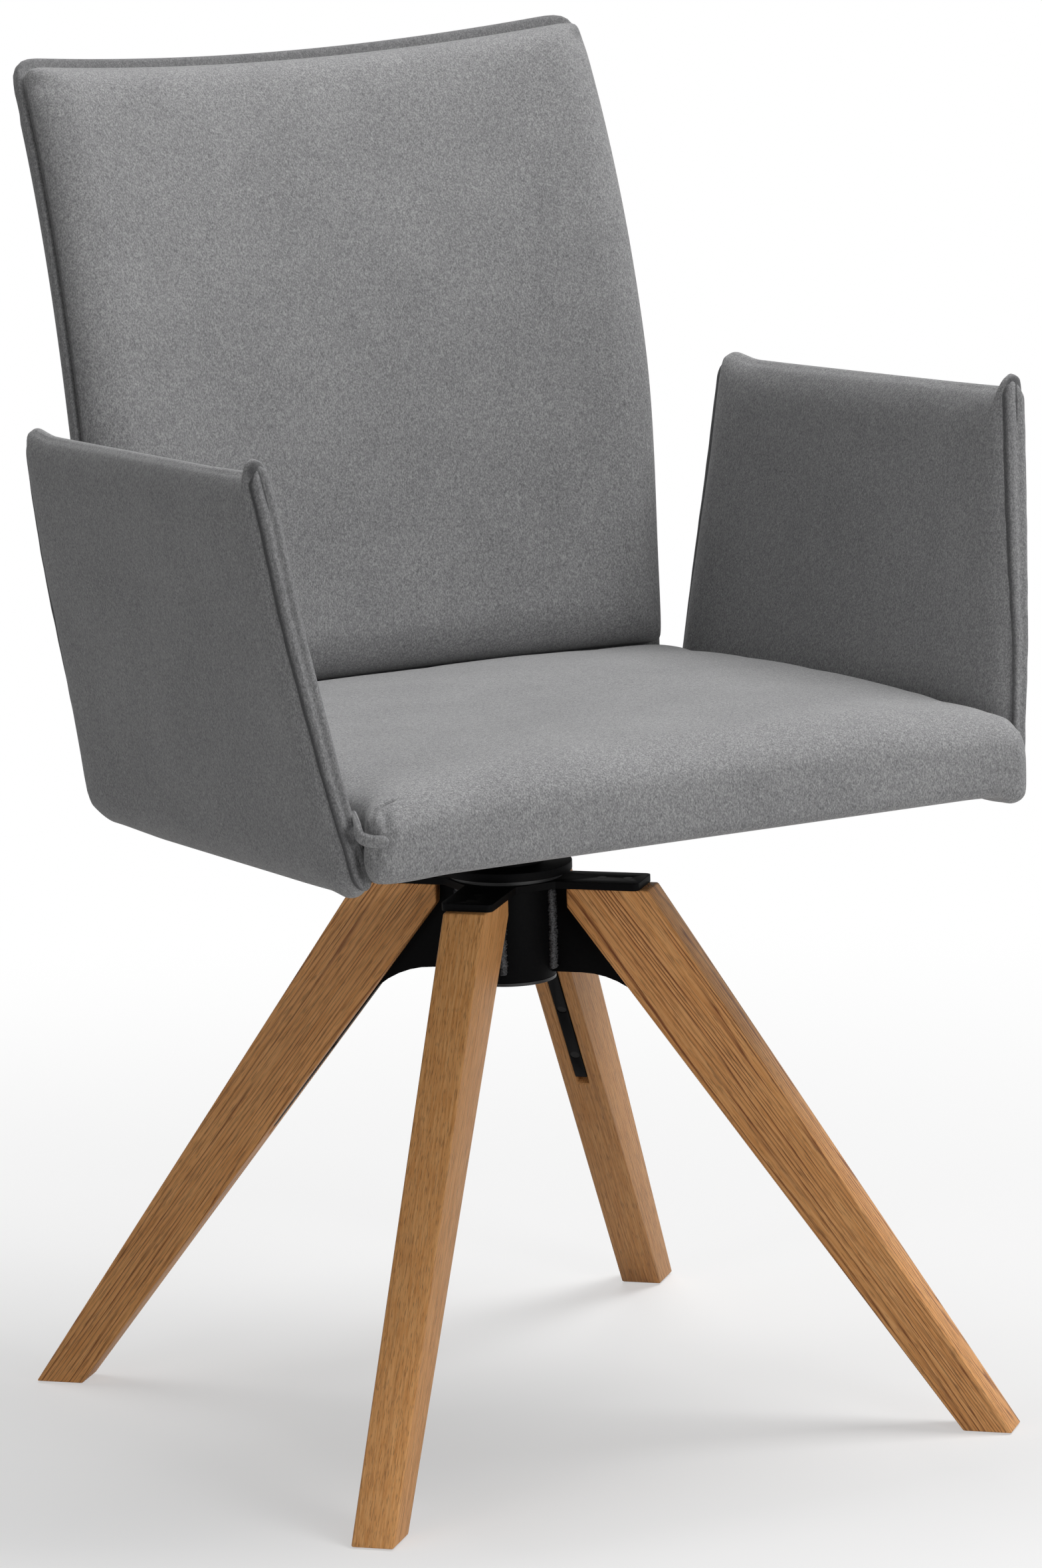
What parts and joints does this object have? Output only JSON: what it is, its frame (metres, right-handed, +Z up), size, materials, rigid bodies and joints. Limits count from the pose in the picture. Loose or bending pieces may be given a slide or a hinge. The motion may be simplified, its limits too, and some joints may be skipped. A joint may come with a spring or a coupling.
{
  "type": "armchair",
  "caption": "Upholstered swivel armchair: padded seat, curved back and two flat arms on a black steel column with splayed oak legs.",
  "frame": {"origin": "on the floor, under the middle of the chair's outline in plan; the swivel axis stands 8 mm in front of it, at y = -0.008 m", "axes": "+X to the sitter's left, +Y to the rear, so the chair faces -Y, and +Z up"},
  "size_m": [0.5768, 0.5736, 0.9029],
  "materials": {
    "oak": "oiled solid oak, satin, straight open grain along the leg",
    "black_steel": "satin black powder coat",
    "dark_screw": "blackened steel, dull",
    "glide_plastic": "dark matte plastic",
    "cap_plastic": "black matte plastic",
    "bush_plastic": "off-white matte bearing plastic",
    "bright_steel": "zinc plated steel",
    "insert_brass": "plain brass",
    "plywood": "plain plywood",
    "beech": "plain sawn beech",
    "foam": "open-cell foam",
    "dust_cloth": "thin black non-woven cloth",
    "grey_fabric": "mottled mid-grey woven wool felt, matte"
  },
  "bodies": {
    "base": {"leg_front_left": "oak", "leg_front_right": "oak", "leg_rear_left": "oak", "leg_rear_right": "oak", "glides": "glide_plastic", "bracket_front_left": "black_steel", "bracket_front_right": "black_steel", "bracket_rear_left": "black_steel", "bracket_rear_right": "black_steel", "column_tube": "black_steel", "cross_plate": "black_steel", "weld_beads": "black_steel", "plate_screws": "dark_screw", "leg_screws": "dark_screw", "upper_bush": "bush_plastic", "lower_bush": "bush_plastic", "column_cap": "cap_plastic"},
    "seat_unit": {"spindle": "bright_steel", "swivel_hub": "black_steel", "spindle_washer": "bright_steel", "retaining_ring": "bright_steel", "seat_plate": "black_steel", "plate_bolts": "bright_steel", "tee_nuts": "bright_steel", "seat_board": "plywood", "rail_front": "beech", "rail_rear": "beech", "rail_left": "beech", "rail_right": "beech", "insert_nuts": "insert_brass", "arm_bolts": "bright_steel", "back_bolts": "bright_steel", "seat_foam": "foam", "seat_cover": "grey_fabric", "dust_cover": "dust_cloth", "back_board": "plywood", "back_foam": "foam", "back_cover": "grey_fabric", "back_pad_cover": "grey_fabric", "arm_board_left": "plywood", "arm_board_right": "plywood", "arm_foam_left": "foam", "arm_foam_right": "foam", "arm_cover_left": "grey_fabric", "arm_cover_right": "grey_fabric", "arm_strip_front_left": "grey_fabric", "arm_strip_front_right": "grey_fabric", "arm_strip_rear_left": "grey_fabric", "arm_strip_rear_right": "grey_fabric", "seat_strap": "grey_fabric"}
  },
  "joints": [
    {"name": "seat_swivel", "type": "hinge", "parent": "base", "child": "seat_unit", "pos_m": [0, -0.008, 0.3688], "axis": [0, 0, 1], "continuous": true}
  ]
}
